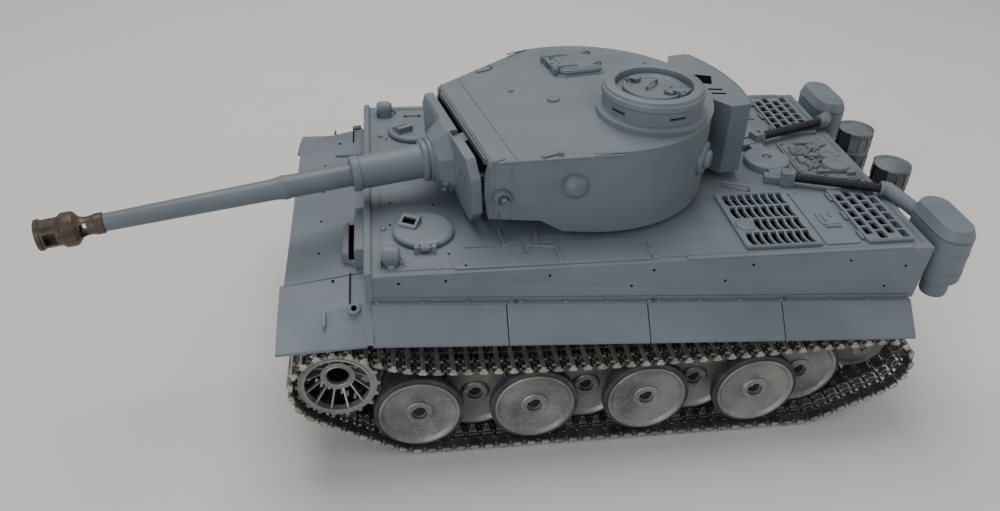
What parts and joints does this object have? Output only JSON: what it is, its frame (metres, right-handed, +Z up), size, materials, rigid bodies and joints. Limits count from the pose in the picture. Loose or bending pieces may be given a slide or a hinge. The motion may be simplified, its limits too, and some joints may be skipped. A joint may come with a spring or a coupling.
{
  "type": "radio-controlled tank",
  "caption": "Tracked scale-model tank with a traversing turret, an elevating gun that recoils, opening crew hatches, interleaved road wheels and sprocket-driven metal tracks.",
  "frame": {"origin": "on the ground below the middle of the whole model, between the tracks", "axes": "+X forward along the hull, +Y to the crew's left, +Z up"},
  "size_m": [0.4956, 0.2358, 0.1868],
  "materials": {
    "hull_plastic": "blue-grey moulded plastic, satin",
    "turret_plastic": "blue-grey moulded plastic, satin",
    "barrel_plastic": "blue-grey satin",
    "brake_plastic": "dark bronze-brown",
    "track_metal": "blackened, bright on the worn edges",
    "wheel_metal": "satin grey, dark rubber tyres",
    "arm_metal": "dark satin",
    "screw_steel": "small dark-headed screws",
    "exhaust_metal": "sooty dark grey",
    "hose_rubber": "matt black",
    "motor_steel": "satin",
    "inner_plastic": "matt black",
    "battery_wrap": "shrink-wrapped",
    "board_plastic": "lacquered board"
  },
  "bodies": {
    "hull": {"upper_hull": "hull_plastic", "lower_hull": "hull_plastic", "side_skirts": "hull_plastic", "mudguards": "hull_plastic", "hull_screws": "screw_steel", "driver_visor": "hull_plastic", "bow_gun": "hull_plastic", "headlights": "hull_plastic", "tow_shackles": "hull_plastic", "exhaust_pipes": "exhaust_metal", "exhaust_shields": "hull_plastic", "air_filters": "hull_plastic", "air_hoses": "hose_rubber", "intake_cap": "hull_plastic", "engine_cover": "hull_plastic", "deck_grilles": "hull_plastic", "grab_handle": "hull_plastic", "left_track": "track_metal", "right_track": "track_metal", "suspension_arms": "arm_metal", "gearboxes": "inner_plastic", "drive_motors": "motor_steel", "battery_pack": "battery_wrap", "control_board": "board_plastic", "speaker": "inner_plastic", "traverse_motor": "motor_steel"},
    "turret": {"turret_shell": "turret_plastic", "cupola": "turret_plastic", "stowage_bin": "turret_plastic", "turret_fittings": "turret_plastic", "elevation_motor": "motor_steel"},
    "gun_mount": {"mantlet": "turret_plastic"},
    "gun": {"gun_barrel": "barrel_plastic", "muzzle_brake": "brake_plastic"},
    "commander_hatch": {"commander_hatch": "turret_plastic"},
    "loader_hatch": {"loader_hatch": "turret_plastic"},
    "driver_hatch": {"driver_hatch": "hull_plastic"},
    "radio_operator_hatch": {"radio_operator_hatch": "hull_plastic"},
    "left_sprocket": {"left_sprocket": "wheel_metal"},
    "right_sprocket": {"right_sprocket": "wheel_metal"},
    "left_idler": {"left_idler": "wheel_metal"},
    "right_idler": {"right_idler": "wheel_metal"},
    "left_wheels_1": {"left_wheels_1": "wheel_metal"},
    "left_wheels_2": {"left_wheels_2": "wheel_metal"},
    "left_wheels_3": {"left_wheels_3": "wheel_metal"},
    "left_wheels_4": {"left_wheels_4": "wheel_metal"},
    "left_wheels_5": {"left_wheels_5": "wheel_metal"},
    "left_wheels_6": {"left_wheels_6": "wheel_metal"},
    "left_wheels_7": {"left_wheels_7": "wheel_metal"},
    "left_wheels_8": {"left_wheels_8": "wheel_metal"},
    "right_wheels_1": {"right_wheels_1": "wheel_metal"},
    "right_wheels_2": {"right_wheels_2": "wheel_metal"},
    "right_wheels_3": {"right_wheels_3": "wheel_metal"},
    "right_wheels_4": {"right_wheels_4": "wheel_metal"},
    "right_wheels_5": {"right_wheels_5": "wheel_metal"},
    "right_wheels_6": {"right_wheels_6": "wheel_metal"},
    "right_wheels_7": {"right_wheels_7": "wheel_metal"},
    "right_wheels_8": {"right_wheels_8": "wheel_metal"}
  },
  "joints": [
    {"name": "turret_traverse", "type": "hinge", "parent": "hull", "child": "turret", "pos_m": [-0.0467, 0, 0.117], "axis": [0, 0, 1], "range_deg": [-151.5, 128.5]},
    {"name": "gun_elevation", "type": "hinge", "parent": "turret", "child": "gun_mount", "pos_m": [0.01798, 0.01316, 0.141], "axis": [0.1994, -0.9799, 0], "range_deg": [-1.4, 13.6]},
    {"name": "barrel_recoil", "type": "slide", "parent": "gun_mount", "child": "gun", "axis": [0.978, 0.199, -0.0628], "range_m": [-0.008, 0], "stiffness_N_per_m": 60, "springref_m": 0.004},
    {"name": "commander_hatch_hinge", "type": "hinge", "parent": "turret", "child": "commander_hatch", "pos_m": [-0.09111, 0.04003, 0.1853], "axis": [-0.6884, -0.7254, 0], "range_deg": [0, 100]},
    {"name": "loader_hatch_hinge", "type": "hinge", "parent": "turret", "child": "loader_hatch", "pos_m": [-0.03187, -0.0378, 0.1712], "axis": [-0.1994, 0.9799, 0], "range_deg": [0, 100]},
    {"name": "driver_hatch_hinge", "type": "hinge", "parent": "hull", "child": "driver_hatch", "pos_m": [0.051, 0.0783, 0.1194], "axis": [-1, 0, 0], "range_deg": [0, 100]},
    {"name": "radio_operator_hatch_hinge", "type": "hinge", "parent": "hull", "child": "radio_operator_hatch", "pos_m": [0.051, -0.0783, 0.1194], "axis": [1, 0, 0], "range_deg": [0, 100]},
    {"name": "left_drive", "type": "hinge", "parent": "hull", "child": "left_sprocket", "pos_m": [0.1007, 0.09, 0.0525], "axis": [0, 1, 0], "continuous": true},
    {"name": "left_idler_spin", "type": "hinge", "parent": "hull", "child": "left_idler", "pos_m": [-0.2055, 0.078, 0.0413], "axis": [0, 1, 0], "continuous": true},
    {"name": "left_wheels_1_spin", "type": "hinge", "parent": "hull", "child": "left_wheels_1", "pos_m": [0.0579, 0.088, 0.0288], "axis": [0, 1, 0], "continuous": true},
    {"name": "left_wheels_2_spin", "type": "hinge", "parent": "hull", "child": "left_wheels_2", "pos_m": [0.02571, 0.088, 0.0288], "axis": [0, 1, 0], "continuous": true},
    {"name": "left_wheels_3_spin", "type": "hinge", "parent": "hull", "child": "left_wheels_3", "pos_m": [-0.00648, 0.088, 0.0288], "axis": [0, 1, 0], "continuous": true},
    {"name": "left_wheels_4_spin", "type": "hinge", "parent": "hull", "child": "left_wheels_4", "pos_m": [-0.03867, 0.088, 0.0288], "axis": [0, 1, 0], "continuous": true},
    {"name": "left_wheels_5_spin", "type": "hinge", "parent": "hull", "child": "left_wheels_5", "pos_m": [-0.07086, 0.088, 0.0288], "axis": [0, 1, 0], "continuous": true},
    {"name": "left_wheels_6_spin", "type": "hinge", "parent": "hull", "child": "left_wheels_6", "pos_m": [-0.10305, 0.088, 0.0288], "axis": [0, 1, 0], "continuous": true},
    {"name": "left_wheels_7_spin", "type": "hinge", "parent": "hull", "child": "left_wheels_7", "pos_m": [-0.13524, 0.088, 0.0288], "axis": [0, 1, 0], "continuous": true},
    {"name": "left_wheels_8_spin", "type": "hinge", "parent": "hull", "child": "left_wheels_8", "pos_m": [-0.16743, 0.088, 0.0288], "axis": [0, 1, 0], "continuous": true},
    {"name": "right_drive", "type": "hinge", "parent": "hull", "child": "right_sprocket", "pos_m": [0.1007, -0.09, 0.0525], "axis": [0, 1, 0], "continuous": true},
    {"name": "right_idler_spin", "type": "hinge", "parent": "hull", "child": "right_idler", "pos_m": [-0.2055, -0.078, 0.0413], "axis": [0, 1, 0], "continuous": true},
    {"name": "right_wheels_1_spin", "type": "hinge", "parent": "hull", "child": "right_wheels_1", "pos_m": [0.0579, -0.088, 0.0288], "axis": [0, 1, 0], "continuous": true},
    {"name": "right_wheels_2_spin", "type": "hinge", "parent": "hull", "child": "right_wheels_2", "pos_m": [0.02571, -0.088, 0.0288], "axis": [0, 1, 0], "continuous": true},
    {"name": "right_wheels_3_spin", "type": "hinge", "parent": "hull", "child": "right_wheels_3", "pos_m": [-0.00648, -0.088, 0.0288], "axis": [0, 1, 0], "continuous": true},
    {"name": "right_wheels_4_spin", "type": "hinge", "parent": "hull", "child": "right_wheels_4", "pos_m": [-0.03867, -0.088, 0.0288], "axis": [0, 1, 0], "continuous": true},
    {"name": "right_wheels_5_spin", "type": "hinge", "parent": "hull", "child": "right_wheels_5", "pos_m": [-0.07086, -0.088, 0.0288], "axis": [0, 1, 0], "continuous": true},
    {"name": "right_wheels_6_spin", "type": "hinge", "parent": "hull", "child": "right_wheels_6", "pos_m": [-0.10305, -0.088, 0.0288], "axis": [0, 1, 0], "continuous": true},
    {"name": "right_wheels_7_spin", "type": "hinge", "parent": "hull", "child": "right_wheels_7", "pos_m": [-0.13524, -0.088, 0.0288], "axis": [0, 1, 0], "continuous": true},
    {"name": "right_wheels_8_spin", "type": "hinge", "parent": "hull", "child": "right_wheels_8", "pos_m": [-0.16743, -0.088, 0.0288], "axis": [0, 1, 0], "continuous": true}
  ],
  "couplings": [
    {"joint": "left_idler_spin", "follows": "left_drive", "ratio": 1.274},
    {"joint": "left_wheels_1_spin", "follows": "left_drive", "ratio": 0.9325},
    {"joint": "left_wheels_2_spin", "follows": "left_drive", "ratio": 0.9325},
    {"joint": "left_wheels_3_spin", "follows": "left_drive", "ratio": 0.9325},
    {"joint": "left_wheels_4_spin", "follows": "left_drive", "ratio": 0.9325},
    {"joint": "left_wheels_5_spin", "follows": "left_drive", "ratio": 0.9325},
    {"joint": "left_wheels_6_spin", "follows": "left_drive", "ratio": 0.9325},
    {"joint": "left_wheels_7_spin", "follows": "left_drive", "ratio": 0.9325},
    {"joint": "left_wheels_8_spin", "follows": "left_drive", "ratio": 0.9325},
    {"joint": "right_idler_spin", "follows": "right_drive", "ratio": 1.274},
    {"joint": "right_wheels_1_spin", "follows": "right_drive", "ratio": 0.9325},
    {"joint": "right_wheels_2_spin", "follows": "right_drive", "ratio": 0.9325},
    {"joint": "right_wheels_3_spin", "follows": "right_drive", "ratio": 0.9325},
    {"joint": "right_wheels_4_spin", "follows": "right_drive", "ratio": 0.9325},
    {"joint": "right_wheels_5_spin", "follows": "right_drive", "ratio": 0.9325},
    {"joint": "right_wheels_6_spin", "follows": "right_drive", "ratio": 0.9325},
    {"joint": "right_wheels_7_spin", "follows": "right_drive", "ratio": 0.9325},
    {"joint": "right_wheels_8_spin", "follows": "right_drive", "ratio": 0.9325}
  ]
}
